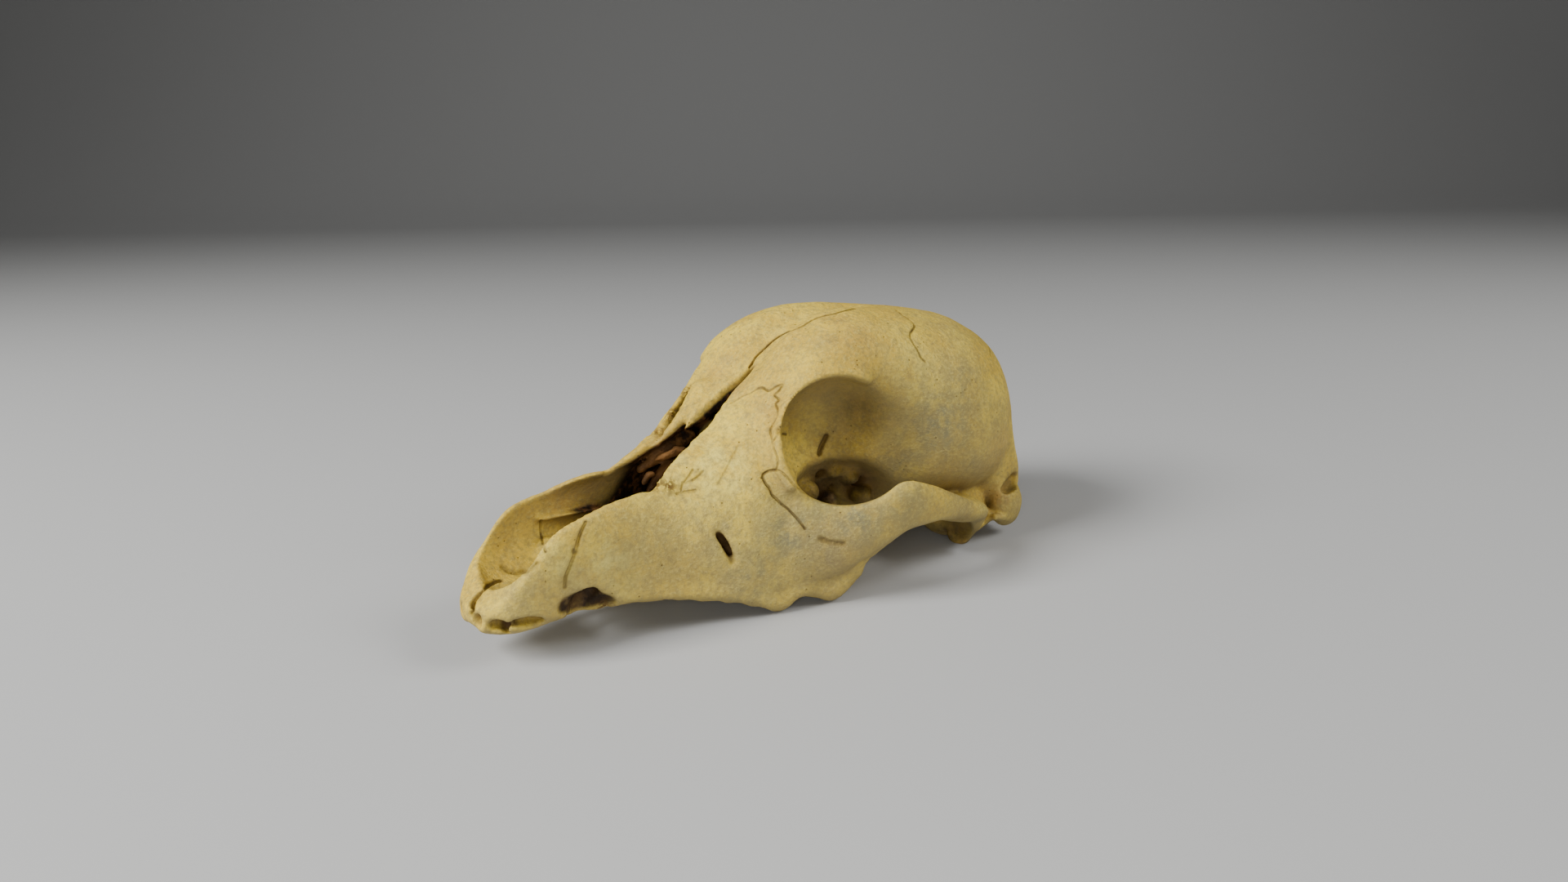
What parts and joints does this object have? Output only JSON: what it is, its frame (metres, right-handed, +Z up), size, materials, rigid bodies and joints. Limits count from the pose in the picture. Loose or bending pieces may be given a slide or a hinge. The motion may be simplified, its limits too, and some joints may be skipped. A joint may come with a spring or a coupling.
{
  "type": "poodle skull",
  "caption": "Dry cranium of a small poodle, without lower jaw, teeth or nasal bones, yellowed bone with open sutures.",
  "frame": {"origin": "on the ground, under the middle of the skull's box as it rests", "axes": "+Z up; -Y towards the nose; +X to the skull's own left"},
  "size_m": [0.0676, 0.1302, 0.0542],
  "materials": {
    "bone": "matt"
  },
  "bodies": {
    "root": {"cranium": "bone"}
  },
  "joints": []
}
